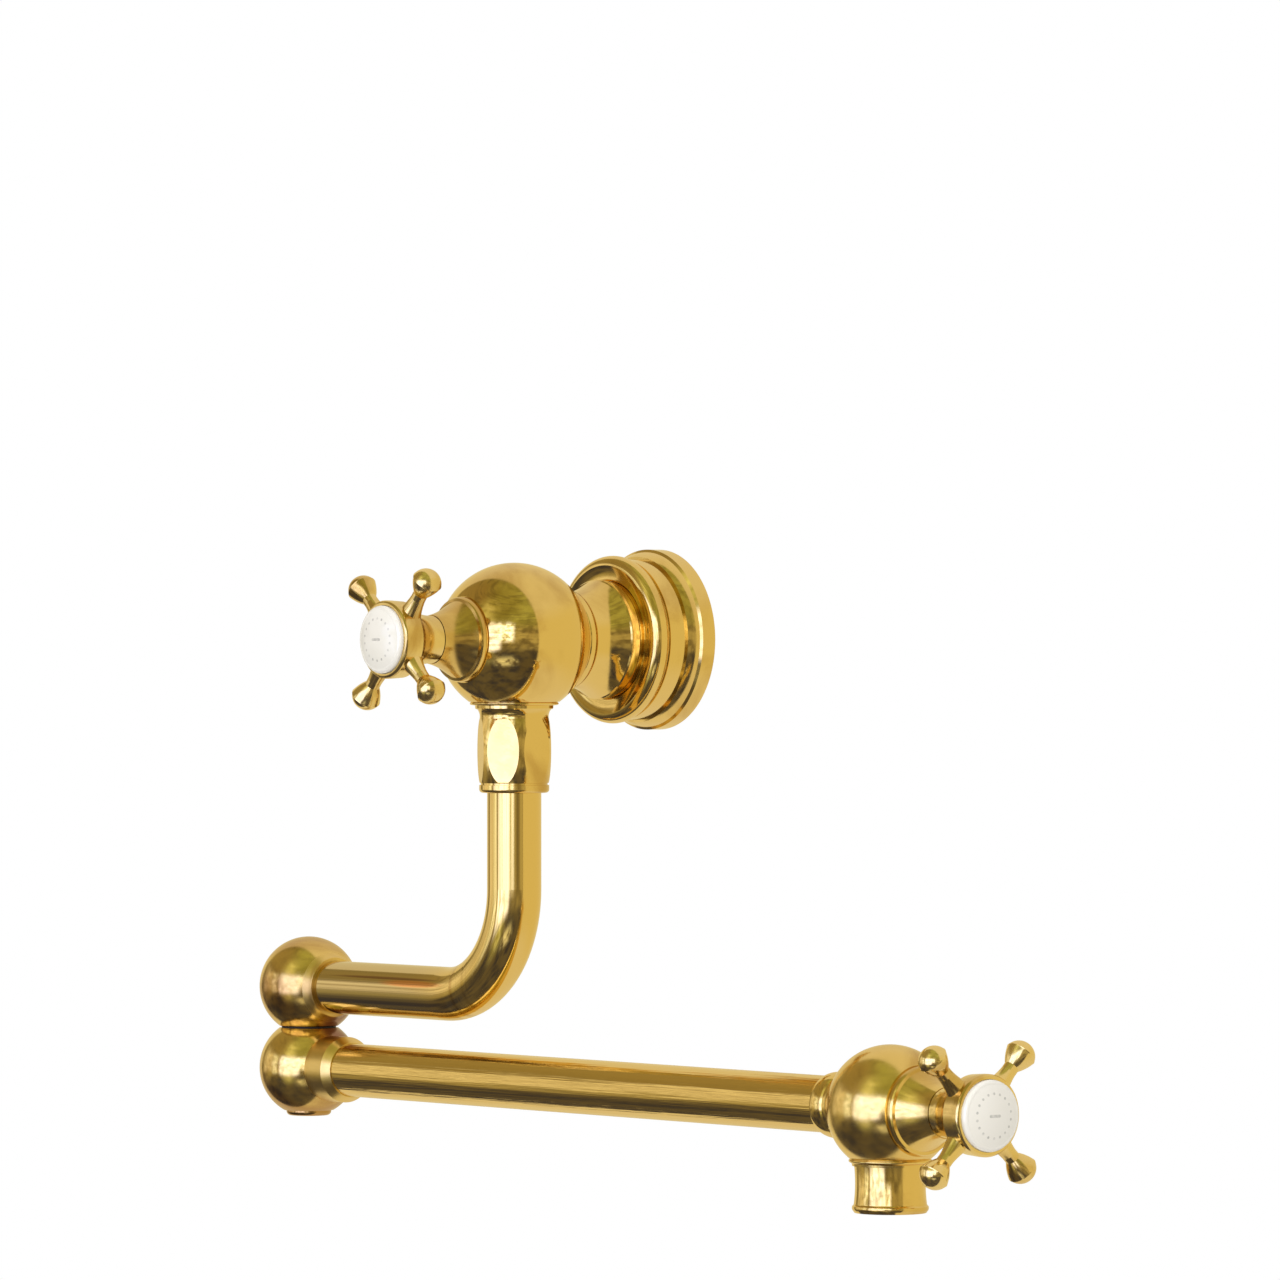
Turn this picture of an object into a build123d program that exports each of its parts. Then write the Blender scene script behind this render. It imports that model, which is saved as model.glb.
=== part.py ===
from build123d import *
import os
from math import atan2, cos, sin, sqrt

# A wall mounted pot filler in polished brass: a ball valve body on a wall rose, a bent drop tube that
# swivels under it, a double ball elbow, a straight arm folded back, and a second valve over the nozzle.
#
# Frame: the origin is the centre of the inlet on the wall face, +Z up, +X along the wall, and the room
# lies on the -Y side. Sizes are in millimetres and degrees. Each piece is written to parts/NAME.step.

# ---------------------------------------------------------------- driving dimensions

# Layout
REACH = 64.8                # wall face to the axis of the drop tube
DROP = 125.6                # wall valve's centre down to the first arm's axis
FIRST_ARM = 122.6           # drop tube's axis to the elbow's axis
SECOND_ARM = 327.2          # elbow's axis to the spout valve's centre
ELBOW_PITCH = 29.5          # height between the two elbow balls
BEND_RADIUS = 38.1          # centreline of the bend

# Tube
TUBE_R = 19.05 / 2          # three quarter inch tube
TUBE_WALL = 1.25

# Clearances
RUNNING = 0.05              # radial, where one piece turns in another
FACE_GAP = 0.05             # along the axis, between faces that slide over each other
THREAD = 0.05               # radial, between a thread's crests, drawn plain
BRAZE = 0.025               # radial, in a brazed socket
SEAM = 0.2                  # shadow line between a handle and its bonnet

# Wall rose, measured out from the wall
ROSE_R = 32.0
ROSE_RIM = 5.5              # straight rim at the wall
ROSE_BAND_R = 28.5          # band between the ovolo and the bead
ROSE_BAND_START = 10.2
ROSE_BEAD_R = 29.7
ROSE_BEAD_START = 17.8
ROSE_DEPTH = 24.6           # wall to the front of the bead
ROSE_WALL = 3.0
ROSE_SEAT = 9.0             # length of the rose's bore on the neck
GASKET_T = 1.2
SET_SCREW_R = 2.0

# Neck and inlet of the wall valve
NECK_HUB_R = 20.6           # hub that carries the rose
LIP_R = 21.1                # lip where the flare ends, in front of the rose
LIP_FRONT = 29.0            # wall to the lip's edge
NECK_R = 16.4               # the flare's narrow end
NECK_RING_R = 17.4          # ring beside the ball
NECK_RING = 4.0             # the ring's width
INLET_R = 18.63 / 2         # half inch pipe thread, drawn at its minor diameter
INLET_LENGTH = 16.0
WATERWAY_R = 6.0

# Ball bodies
WALL_BALL_R = 27.0
SPOUT_BALL_R = 21.3

# Headwork, the same on both valves, measured out from the flat on the ball where it sits
SEAT_FACE_R = 15.1          # radius of that flat
BONNET_RING_R = 14.9
BONNET_RING = 2.9
BONNET_FOOT_R = 13.4
BONNET_TOP_R = 8.6
BONNET_HEIGHT = 14.1
CARTRIDGE_THREAD_R = 10.4
CARTRIDGE_BARREL_R = 8.6
CARTRIDGE_DEPTH = 17.0      # flat to the barrel's open end
CARTRIDGE_FLANGE_R = 11.6
CARTRIDGE_FLANGE = 3.0
CARTRIDGE_NECK_R = 7.0
CARTRIDGE_TOP = 12.4
WINDOW_DEPTH = 11.6         # flat to the middle of the barrel's two water windows
WINDOW_WIDTH = 6.0
WINDOW_HEIGHT = 4.4
SEAL_T = 2.0
SEAL_R = 8.4
PORT_R = 5.0
DISC_R = 7.2
DISC_T = 2.5
DISC_PORT_R = 2.0
DISC_PORT_OUT = 3.9
SPINDLE_R = 4.0
SPINDLE_FOOT = 6.0
SPINDLE_TOP = 22.9

# Cross handle
HUB_FOOT_R = 8.4
CUP_R = 13.6
CUP_FOOT = 27.2             # edge where the hub's hollow sweep meets the cup
CUP_TOP = 34.8
CUP_LIP = 1.4               # how far the rim rounds in towards the button
CUP_DEPTH = 4.0
ARM_PLANE = 29.0            # flat to the plane of the four arms
ARM_ROOT_R = 4.6
ARM_NECK_R = 2.6
KNOB_R = 5.3
KNOB_OUT = 26.9             # handle's axis to the widest part of a knob
KNOB_DOME = 4.2             # how far the dome stands beyond it
ARM_COUNT = 4
WALL_HANDLE_TURN = 3.5      # how the wall valve's cross stands, from a true X
SPOUT_HANDLE_TURN = 0.8
BUTTON_R = 11.85
BUTTON_PROUD = 1.9          # the button's edge over the cup's rim
BUTTON_DOME = 1.3
SCREW_R = 1.9
SCREW_HEAD_R = 3.6
SCREW_HEAD = 2.4
SCREW_POCKET_R = 5.8

# Swivel under the wall valve, measured down from the ball's centre
BOSS_RING_R = 15.6
BOSS_RING_TOP = 21.8
BOSS_RING_FOOT = 22.9
BOSS_STEP_R = 13.7
NUT_TOP = 24.4
NUT_COVE_R = 12.1
BARREL_TOP = 27.6
BARREL_FOOT = 50.2
BARREL_END_R = 12.15
BARREL_MID_R = 13.4
NUT_FACET = 12.05           # nut's axis to each flat
NUT_FACETS = 6
NUT_TURN = 3.7              # where the first flat faces, from +X
NUT_RING_R = 12.3
NUT_RING = 2.8
NUT_FOOT = 53.7
NUT_THREAD_R = 10.9
NUT_LIP = 6.7               # thickness of the lip that carries the arm
SPIGOT_FOOT = 41.5
SWIVEL_R = 8.0              # bore that the tail turns in
SWIVEL_TOP = 27.0
WASHER_T = 1.5
TAIL_FLANGE_R = 10.7
TAIL_BORE_R = 5.0
TAIL_PLUG = 8.0             # length of the tail inside the tube
O_RING_T = 1.6
O_RING_FLOOR = 1.65         # groove depth

# Elbow
ELBOW_NECK_R = 10.14        # where the two balls meet
ELBOW_WALL = 4.9
ELBOW_WASHER_T = 0.6
ELBOW_THREAD_R = 8.3
ELBOW_THREAD = 6.5          # spigot's thread in the upper ball
ELBOW_LAND = 7.7            # bore length that the spigot turns in
ELBOW_WEB = 2.3             # web under the land
ELBOW_STUD_R = 6.0
ELBOW_STUD_BORE_R = 4.2
ELBOW_NUT_R = 7.5
ELBOW_NUT = 2.6
SOCKET_OUT = 11.0           # ball's centre to the tube's end
FLARE_ROOT = 2.8            # from the tube out to where the upper ball's flare starts
FLARE_RIM = 1.3             # from the tube out to the flare's rim
FLARE_LENGTH = 3.1          # ball's surface to the face of that rim
PLUG_R = 8.1
PLUG_HEAD = 1.9
PLUG_THREAD_R = 7.8
PLUG_THREAD = 3.3
PLUG_KEY = 6.0              # across the flats of its key socket
PLUG_KEY_DEPTH = 2.4
PLUG_INSET = 2.4            # ball's surface in to the plug's seat

# Collars on the straight arm: heights over the tube, and distances from the ball's centre each sits on
ELBOW_COLLAR = 2.3
ELBOW_COLLAR_STEP = 23.2    # where its bevel starts
ELBOW_COLLAR_END = 26.4
VALVE_COLLAR = 2.5
VALVE_COLLAR_COVE = 0.9
VALVE_COLLAR_RING = 1.6
VALVE_COLLAR_RING_START = 23.9
VALVE_COLLAR_END = 29.2
SPOUT_SOCKET_OUT = 14.0     # spout valve's centre to the tube's end

# Nozzle, measured down from the spout valve's centre
NOZZLE_RING_R = 13.8
NOZZLE_RING_TOP = 16.6
NOZZLE_RING_FOOT = 18.8
NOZZLE_RING_ROOT = 6.0      # how far its cone reaches up into the ball
NOZZLE_R = 12.0
NOZZLE_WAIST_R = 11.7
NOZZLE_RIM_R = 12.75
NOZZLE_RIM_TOP = 32.1
NOZZLE_FOOT = 34.3
NOZZLE_THREAD_R = 9.4
NOZZLE_THREAD = 6.0
NOZZLE_BORE_R = 7.4
AERATOR_R = 10.5
AERATOR_DEPTH = 8.4
AERATOR_WALL = 1.9
AERATOR_WASHER_T = 1.6
AERATOR_RECESS = 0.6        # nozzle's rim to the aerator's face
SCREEN_T = 1.0
SCREEN_HOLE_R = 0.75
SCREEN_PITCH = 2.4
SCREEN_RINGS = 3

# ---------------------------------------------------------------- worked out from them

WALL_SEAT = sqrt(WALL_BALL_R ** 2 - SEAT_FACE_R ** 2)       # ball's centre to the bonnet's flat
SPOUT_SEAT = sqrt(SPOUT_BALL_R ** 2 - SEAT_FACE_R ** 2)
SEAT_DEPTH = CARTRIDGE_DEPTH + SEAL_T                       # flat to the raised valve seat
CHAMBER_R = CARTRIDGE_THREAD_R + THREAD
TUBE_BORE_R = TUBE_R - TUBE_WALL
SOCKET_R = TUBE_R + BRAZE
ELBOW_JOINT = ELBOW_PITCH / 2                               # ball's centre to the plane between the balls
ELBOW_BALL_R = sqrt(ELBOW_NECK_R ** 2 + ELBOW_JOINT ** 2)
ELBOW_CAVITY_R = ELBOW_BALL_R - ELBOW_WALL
PLUG_FACE_OUT = ELBOW_BALL_R - PLUG_INSET
FLARE_ROOT_R = TUBE_R + FLARE_ROOT
FLARE_RIM_R = TUBE_R + FLARE_RIM
FLARE_START = sqrt(ELBOW_BALL_R ** 2 - FLARE_ROOT_R ** 2)
FLARE_OUT = FLARE_START + FLARE_LENGTH
ELBOW_COLLAR_R = TUBE_R + ELBOW_COLLAR
VALVE_COLLAR_R = TUBE_R + VALVE_COLLAR
VALVE_COLLAR_COVE_R = TUBE_R + VALVE_COLLAR_COVE
VALVE_COLLAR_RING_R = TUBE_R + VALVE_COLLAR_RING

# Places: each one carries a piece drawn about Z from its own zero.
out_of_wall = Plane(origin=(0, 0, 0), x_dir=(1, 0, 0), z_dir=(0, -1, 0)).location
wall_ball = Pos(0, -REACH, 0)
wall_headwork = Plane(origin=(0, -REACH - WALL_SEAT, 0), x_dir=(1, 0, 0), z_dir=(0, -1, 0)).location
upper_ball = Pos(-FIRST_ARM, -REACH, -DROP)
lower_ball = Pos(-FIRST_ARM, -REACH, -DROP - ELBOW_PITCH)
elbow_joint = Pos(-FIRST_ARM, -REACH, -DROP - ELBOW_JOINT)
spout_ball = Pos(SECOND_ARM - FIRST_ARM, -REACH, -DROP - ELBOW_PITCH)
spout_headwork = spout_ball * Plane(origin=(SPOUT_SEAT, 0, 0), x_dir=(0, 1, 0), z_dir=(1, 0, 0)).location
along_x = Plane(origin=(0, 0, 0), x_dir=(0, 1, 0), z_dir=(1, 0, 0)).location
against_x = Plane(origin=(0, 0, 0), x_dir=(0, 1, 0), z_dir=(-1, 0, 0)).location

os.makedirs("parts", exist_ok=True)


# ---------------------------------------------------------------- ways of making

def turned(*outline):
    """A piece turned about Z from an outline of (radius, height) points.

    A step of the outline is a point, reached by a straight line, or a pair (via, end), reached by an arc.
    """
    start = outline[0]
    here = start
    edges = []
    for step in outline[1:] + (start,):
        if isinstance(step[0], tuple):
            via, end = step
            edges.append(ThreePointArc((here[0], 0, here[1]), (via[0], 0, via[1]), (end[0], 0, end[1])))
        else:
            end = step
            edges.append(Line((here[0], 0, here[1]), (end[0], 0, end[1])))
        here = end
    return revolve(make_face(edges), Axis.Z)


def cap(edge_r, low, high):
    """The outline step for a spherical cap, from (edge_r, low) up to the axis at high."""
    rise = high - low
    ball_r = (edge_r ** 2 + rise ** 2) / (2 * rise)
    half = atan2(edge_r, ball_r - rise) / 2
    return (ball_r * sin(half), high - ball_r + ball_r * cos(half)), (0, high)


def rod(radius, low, high):
    """A plain round bar about Z from one height to another."""
    return Pos(0, 0, low) * Cylinder(radius, high - low, align=(Align.CENTER, Align.CENTER, Align.MIN))


def pipe(outer, inner, low, high):
    """A plain tube about Z from one height to another."""
    return rod(outer, low, high) - rod(inner, low, high)


def o_ring(floor_r, wall_r, height):
    """A seal ring that fills its groove from the floor to just short of the wall."""
    outer = wall_r - RUNNING
    section = (outer - floor_r) / 2
    return Pos(0, 0, height) * Torus(floor_r + section, section)


def groove(outer, floor_r, height):
    """What an O-ring groove takes out of a shank."""
    return pipe(outer + 1, floor_r, height - O_RING_T * 0.6, height + O_RING_T * 0.6)


def save(name, piece):
    """Write one node, coloured parts or not, as parts/NAME.step."""
    export_step(piece, f"parts/{name}.step")


# ---------------------------------------------------------------- headwork: cartridge, bonnet and handle

def well(seat, outlet_r):
    """The chamber that a ball body holds for its cartridge, in the headwork's frame."""
    well_depth = max(SEAT_DEPTH, seat + outlet_r - 1)
    bore = rod(CHAMBER_R, -well_depth, 1)
    raised_seat = rod(SEAL_R + 0.3, -well_depth, -SEAT_DEPTH)
    port = rod(PORT_R, -well_depth - 2 * PORT_R, -SEAT_DEPTH + 1)
    return bore - raised_seat + port


def cartridge():
    """Brass shell: an open barrel for the discs, a threaded shoulder, a flange and a threaded neck."""
    foot = -CARTRIDGE_DEPTH
    cavity_r = DISC_R + 0.1
    shell = turned(
        (cavity_r, foot), (CARTRIDGE_BARREL_R, foot), (CARTRIDGE_BARREL_R, -9), (CARTRIDGE_THREAD_R, -9),
        (CARTRIDGE_THREAD_R, 0), (CARTRIDGE_FLANGE_R, 0), (CARTRIDGE_FLANGE_R, CARTRIDGE_FLANGE),
        (CARTRIDGE_NECK_R, CARTRIDGE_FLANGE), (CARTRIDGE_NECK_R, CARTRIDGE_TOP),
        (SPINDLE_R + RUNNING, CARTRIDGE_TOP), (SPINDLE_R + RUNNING, -SPINDLE_FOOT), (cavity_r, -SPINDLE_FOOT))
    window = Pos(0, 0, -WINDOW_DEPTH) * Box(4 * CARTRIDGE_BARREL_R, WINDOW_WIDTH, WINDOW_HEIGHT)
    seal_groove = pipe(CARTRIDGE_THREAD_R + 1, CARTRIDGE_THREAD_R - 1.2, -2.2, -0.8)
    return shell - window - seal_groove


def cartridge_o_ring():
    return o_ring(CARTRIDGE_THREAD_R - 1.2, CHAMBER_R, -1.5)


def seat_seal():
    return pipe(SEAL_R, PORT_R, -SEAT_DEPTH, -CARTRIDGE_DEPTH)


def ceramic_disc(low, port_angle):
    """A lapped disc with two water ports."""
    disc = rod(DISC_R, low, low + DISC_T)
    for angle in (port_angle, port_angle + 180):
        disc -= Rot(0, 0, angle) * Pos(DISC_PORT_OUT, 0, 0) * rod(DISC_PORT_R, low - 1, low + DISC_T + 1)
    return disc


def fixed_disc():
    return ceramic_disc(-CARTRIDGE_DEPTH, 0)


def moving_disc():
    """The ports stand across the fixed ones while the valve is shut."""
    return ceramic_disc(-CARTRIDGE_DEPTH + DISC_T + FACE_GAP, 90)


def spindle():
    """A foot that drives the moving disc, and a stem up into the handle with a tapped end."""
    foot_low = -CARTRIDGE_DEPTH + 2 * DISC_T + 2 * FACE_GAP
    foot_high = -SPINDLE_FOOT - FACE_GAP
    stem = rod(DISC_R - 0.3, foot_low, foot_high) + rod(SPINDLE_R, foot_high, SPINDLE_TOP)
    water_notch = Box(4, 2 * DISC_R, 2.6)
    for side in (-1, 1):
        stem -= Pos(side * DISC_R, 0, foot_low + 1) * water_notch
    stem -= pipe(SPINDLE_R + 1, SPINDLE_R - 0.9, 4.4, 5.8)
    return stem - rod(SCREW_R + THREAD, SPINDLE_TOP - 9, SPINDLE_TOP + 1)


def spindle_o_ring():
    return o_ring(SPINDLE_R - 0.9, SPINDLE_R + RUNNING, 5.1)


def bonnet():
    """A turned cover: a ring on the ball and a cavetto up to the neck, hollow round the cartridge."""
    ring = BONNET_RING
    neck_r = CARTRIDGE_NECK_R + THREAD
    flange_r = CARTRIDGE_FLANGE_R + 0.3
    return turned(
        (flange_r, 0), (BONNET_RING_R - 0.4, 0), ((BONNET_RING_R, ring / 2), (BONNET_RING_R - 0.5, ring)),
        (BONNET_FOOT_R, ring + 0.3),
        ((BONNET_TOP_R + 1.7, 0.62 * BONNET_HEIGHT), (BONNET_TOP_R, BONNET_HEIGHT)),
        (SPINDLE_R + 0.4, BONNET_HEIGHT), (SPINDLE_R + 0.4, CARTRIDGE_TOP + 0.1),
        (neck_r, CARTRIDGE_TOP + 0.1), (neck_r, 9), (flange_r, CARTRIDGE_FLANGE + 0.3))


def knob_arm():
    """One arm with its knob, turned about Z from the handle's axis outwards."""
    widest = KNOB_OUT
    return turned(
        (0, CUP_R / 2), (ARM_ROOT_R, CUP_R - 3.2),
        ((ARM_NECK_R + 0.55, CUP_R + 1.6), (ARM_NECK_R, widest - 8)),
        (ARM_NECK_R, widest - 5.8), (ARM_NECK_R + 0.5, widest - 5.0),
        ((KNOB_R - 0.85, widest - 2.4), (KNOB_R - 0.1, widest - 0.25)),
        (KNOB_R, widest), (KNOB_R - 0.15, widest + 0.3), cap(KNOB_R - 0.15, widest + 0.3, widest + KNOB_DOME))


def cross_handle(turn):
    """Hub with a cup for the button, and arms in one piece with it."""
    foot = BONNET_HEIGHT + SEAM
    cup_floor = CUP_TOP - CUP_DEPTH
    screw_seat = SPINDLE_TOP + 4.1
    handle = turned(
        (0, foot), (HUB_FOOT_R, foot), ((HUB_FOOT_R + 1.1, foot + 7), (CUP_R - 0.9, CUP_FOOT - 0.6)),
        (CUP_R - 0.3, CUP_FOOT), (CUP_R, CUP_TOP - 2 * CUP_LIP), (CUP_R, CUP_TOP - 0.8 * CUP_LIP),
        ((CUP_R - 0.3 * CUP_LIP, CUP_TOP - 0.2 * CUP_LIP), (CUP_R - CUP_LIP, CUP_TOP)), (0, CUP_TOP))
    arm = Plane(origin=(0, 0, ARM_PLANE), x_dir=(0, 1, 0), z_dir=(1, 0, 0)).location * knob_arm()
    for number in range(ARM_COUNT):
        handle += Rot(0, 0, turn + 45 + number * 360 / ARM_COUNT) * arm
    handle -= rod(BUTTON_R + 0.1, cup_floor, CUP_TOP + 1)
    handle -= rod(SCREW_POCKET_R, screw_seat, cup_floor + 1)
    handle -= rod(SCREW_R + 0.3, foot, screw_seat + 1)
    handle -= rod(SPINDLE_R + BRAZE, foot - 1, SPINDLE_TOP + 0.1)
    return handle


def porcelain_button():
    """A glazed button with a rounded shoulder and a low dome."""
    floor = CUP_TOP - CUP_DEPTH
    edge = CUP_TOP + BUTTON_PROUD
    button = turned(
        (0, floor), (BUTTON_R, floor), (BUTTON_R, edge - 1.2),
        ((BUTTON_R - 0.42, edge - 0.35), (BUTTON_R - 1.5, edge)),
        cap(BUTTON_R - 1.5, edge, edge + BUTTON_DOME))
    return button - pipe(BUTTON_R + 1, BUTTON_R - 1.0, floor + 1.2, floor + 2.4)


def button_o_ring():
    return o_ring(BUTTON_R - 1.0, BUTTON_R + 0.1, CUP_TOP - CUP_DEPTH + 1.8)


def handle_screw():
    """A pan head screw down through the hub into the spindle."""
    seat = SPINDLE_TOP + 4.1
    screw = rod(SCREW_R, SPINDLE_TOP - 8, seat)
    screw += turned(
        (0, seat), (SCREW_HEAD_R, seat), (SCREW_HEAD_R, seat + 1),
        cap(SCREW_HEAD_R, seat + 1, seat + SCREW_HEAD))
    slot = Pos(0, 0, seat + SCREW_HEAD) * Box(2 * SCREW_HEAD_R + 1, 0.9, 2.2)
    return screw - slot


def save_headwork(prefix, place, turn):
    """Write the cartridge, bonnet and handle of one valve."""
    handle_place = place * Rot(0, 0, turn)
    save(f"{prefix}_seat_seal", place * seat_seal())
    save(f"{prefix}_fixed_disc", place * fixed_disc())
    save(f"{prefix}_cartridge", place * cartridge())
    save(f"{prefix}_cartridge_o_ring", place * cartridge_o_ring())
    save(f"{prefix}_bonnet", place * bonnet())
    save(f"{prefix}_moving_disc", place * moving_disc())
    save(f"{prefix}_spindle", place * spindle())
    save(f"{prefix}_spindle_o_ring", place * spindle_o_ring())
    save(f"{prefix}_cross_handle", place * cross_handle(turn))
    save(f"{prefix}_handle_screw", handle_place * handle_screw())
    save(f"{prefix}_button_o_ring", place * button_o_ring())
    save(f"{prefix}_porcelain_button", place * porcelain_button())


# ---------------------------------------------------------------- wall rose

def wall_rose():
    """A turned flange: straight rim, ovolo, band and front bead, bored to slide on the neck's hub."""
    bore_r = NECK_HUB_R + 0.1
    bead_mid = (ROSE_BEAD_START + ROSE_DEPTH) / 2
    rose = turned(
        (ROSE_R - ROSE_WALL, 0), (ROSE_R, 0), (ROSE_R, ROSE_RIM), (ROSE_R - 0.9, ROSE_RIM + 0.7),
        ((ROSE_R - 1.3, ROSE_BAND_START - 2.6), (ROSE_BAND_R + 0.9, ROSE_BAND_START)),
        (ROSE_BAND_R, ROSE_BAND_START), (ROSE_BAND_R, ROSE_BEAD_START - 0.6),
        (ROSE_BAND_R - 0.5, ROSE_BEAD_START - 0.5), (ROSE_BAND_R - 0.5, ROSE_BEAD_START),
        ((ROSE_BEAD_R, bead_mid - 0.2), (ROSE_BEAD_R - 3.4, ROSE_DEPTH)),
        ((ROSE_BEAD_R - 5.6, ROSE_DEPTH - 0.9), (bore_r + 0.6, ROSE_DEPTH - 1.2)),
        (bore_r, ROSE_DEPTH - 1.8), (bore_r, ROSE_DEPTH - 1.8 - ROSE_SEAT),
        (ROSE_BAND_R - ROSE_WALL, ROSE_DEPTH - 1.8 - ROSE_SEAT),
        (ROSE_BAND_R - ROSE_WALL, ROSE_RIM + 3), (ROSE_R - ROSE_WALL, ROSE_RIM))
    rose -= pipe(ROSE_R - 0.8, ROSE_R - ROSE_WALL - 1, -1, GASKET_T)
    return rose - set_screw_line() * rod(SET_SCREW_R + THREAD, 0, ROSE_R)


def set_screw_line():
    """Straight down through the bead, in the rose's frame."""
    return Plane(origin=(0, 0, ROSE_DEPTH - 1.8 - ROSE_SEAT / 2), x_dir=(1, 0, 0), z_dir=(0, -1, 0)).location


def rose_set_screw():
    """A headless screw with a key socket, its tip on the neck."""
    screw = rod(SET_SCREW_R, NECK_HUB_R, ROSE_BAND_R - 0.8)
    socket = extrude(Pos(0, 0, ROSE_BAND_R - 0.8) * RegularPolygon(1.1, 6), -2)
    return set_screw_line() * (screw - socket)


def rose_gasket():
    return pipe(ROSE_R - 0.85, ROSE_R - ROSE_WALL - 1, 0, GASKET_T)


# ---------------------------------------------------------------- wall valve body and its swivel nut

def wall_valve_body():
    """Ball, flared neck, hub for the rose, boss and spigot below, and the waterways."""
    flare_end = REACH - sqrt(WALL_BALL_R ** 2 - NECK_RING_R ** 2)
    ring_out = flare_end - NECK_RING
    neck = turned(
        (0, 0), (NECK_HUB_R, 0), (NECK_HUB_R, LIP_FRONT - 4.5),
        ((LIP_R, LIP_FRONT - 2.4), (LIP_R, LIP_FRONT - 0.5)), (LIP_R - 0.4, LIP_FRONT),
        ((NECK_R + 1.2, (LIP_FRONT + ring_out) / 2 + 0.8), (NECK_R, ring_out - 0.4)),
        (NECK_R, ring_out), ((NECK_RING_R + 0.25, ring_out + NECK_RING * 0.45), (NECK_RING_R, flare_end)),
        (NECK_RING_R, REACH), (0, REACH))
    boss = turned(
        (0, -BOSS_RING_TOP + 8), (BOSS_RING_R - 0.4, -BOSS_RING_TOP + 1.6),
        (BOSS_RING_R - 0.4, -BOSS_RING_TOP - 0.1),
        ((BOSS_RING_R, -(BOSS_RING_TOP + BOSS_RING_FOOT) / 2), (BOSS_RING_R - 0.4, -BOSS_RING_FOOT)),
        (BOSS_STEP_R + 0.1, -BOSS_RING_FOOT - 0.2), (BOSS_STEP_R, -NUT_TOP + 0.3),
        (BOSS_STEP_R - 0.3, -NUT_TOP),
        (NUT_THREAD_R, -NUT_TOP), (NUT_THREAD_R, -SPIGOT_FOOT), (0, -SPIGOT_FOOT))
    ball = Sphere(WALL_BALL_R) - rod(WALL_BALL_R, -2 * WALL_BALL_R, -BOSS_RING_TOP)
    body = out_of_wall * neck + wall_ball * (ball + boss)
    body -= wall_headwork * (rod(WALL_BALL_R, 0, WALL_BALL_R) + well(WALL_SEAT, WATERWAY_R))
    inlet = rod(INLET_R, -1, INLET_LENGTH) + rod(WATERWAY_R, 0, REACH - WATERWAY_R - 1)
    outlet = rod(WATERWAY_R, -SWIVEL_TOP - 1, -CHAMBER_R + 1) + rod(SWIVEL_R, -SPIGOT_FOOT - 1, -SWIVEL_TOP)
    return body - out_of_wall * inlet - wall_ball * outlet


def swivel_nut():
    """A barrel nut with six flats that end in arches, over a plain ring."""
    thread_r = NUT_THREAD_R + THREAD
    lip_r = TUBE_R + RUNNING
    lip_top = -NUT_FOOT + NUT_LIP
    ring_top = -NUT_FOOT + NUT_RING
    barrel_mid = -(BARREL_TOP + BARREL_FOOT) / 2
    nut = turned(
        (thread_r, -NUT_TOP), (NUT_COVE_R + 0.9, -NUT_TOP),
        ((NUT_COVE_R + 0.1, -NUT_TOP - 1.6), (NUT_COVE_R, -BARREL_TOP + 0.5)),
        (BARREL_END_R, -BARREL_TOP), ((BARREL_MID_R, barrel_mid), (BARREL_END_R, -BARREL_FOOT)),
        (BARREL_END_R - 0.4, -BARREL_FOOT - 0.1), (BARREL_END_R - 0.4, ring_top),
        (NUT_RING_R, ring_top - 0.1),
        (NUT_RING_R, -NUT_FOOT + 1.2), ((NUT_RING_R - 0.35, -NUT_FOOT + 0.35), (NUT_RING_R - 1.2, -NUT_FOOT)),
        (lip_r, -NUT_FOOT), (lip_r, lip_top), (thread_r, lip_top))
    flat = Pos(NUT_FACET + BARREL_MID_R, 0, barrel_mid) * Box(
        2 * BARREL_MID_R, 2 * BARREL_MID_R, BARREL_FOOT - BARREL_TOP - 0.4)
    for number in range(NUT_FACETS):
        nut -= Rot(0, 0, NUT_TURN + number * 360 / NUT_FACETS) * flat
    return wall_ball * nut


def shoulder_thrust_washer():
    return wall_ball * pipe(NUT_THREAD_R - 0.2, SWIVEL_R + RUNNING, -SPIGOT_FOOT - WASHER_T, -SPIGOT_FOOT)


# ---------------------------------------------------------------- first arm

TAIL_FLANGE_TOP = -SPIGOT_FOOT - WASHER_T - FACE_GAP
TAIL_FLANGE_FOOT = -NUT_FOOT + NUT_LIP + FACE_GAP
TAIL_STEM_TOP = -SWIVEL_TOP - 0.5
TAIL_RINGS = (TAIL_STEM_TOP - 3.2, TAIL_STEM_TOP - 8.2)


def swivel_tail():
    """A stem that turns in the ball's spigot, a flange that the nut carries and a plug brazed in the tube."""
    stem_r = SWIVEL_R - RUNNING
    plug_r = TUBE_BORE_R - BRAZE
    tail = turned(
        (TAIL_BORE_R, TAIL_STEM_TOP), (stem_r - 0.5, TAIL_STEM_TOP), (stem_r, TAIL_STEM_TOP - 0.5),
        (stem_r, TAIL_FLANGE_TOP), (TAIL_FLANGE_R, TAIL_FLANGE_TOP), (TAIL_FLANGE_R, TAIL_FLANGE_FOOT),
        (plug_r, TAIL_FLANGE_FOOT), (plug_r, TAIL_FLANGE_FOOT - TAIL_PLUG),
        (TAIL_BORE_R, TAIL_FLANGE_FOOT - TAIL_PLUG))
    for height in TAIL_RINGS:
        tail -= groove(stem_r, SWIVEL_R - O_RING_FLOOR, height)
    return wall_ball * tail


def tail_o_rings():
    rings = [o_ring(SWIVEL_R - O_RING_FLOOR, SWIVEL_R, height) for height in TAIL_RINGS]
    return wall_ball * Compound(children=rings)


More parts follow.
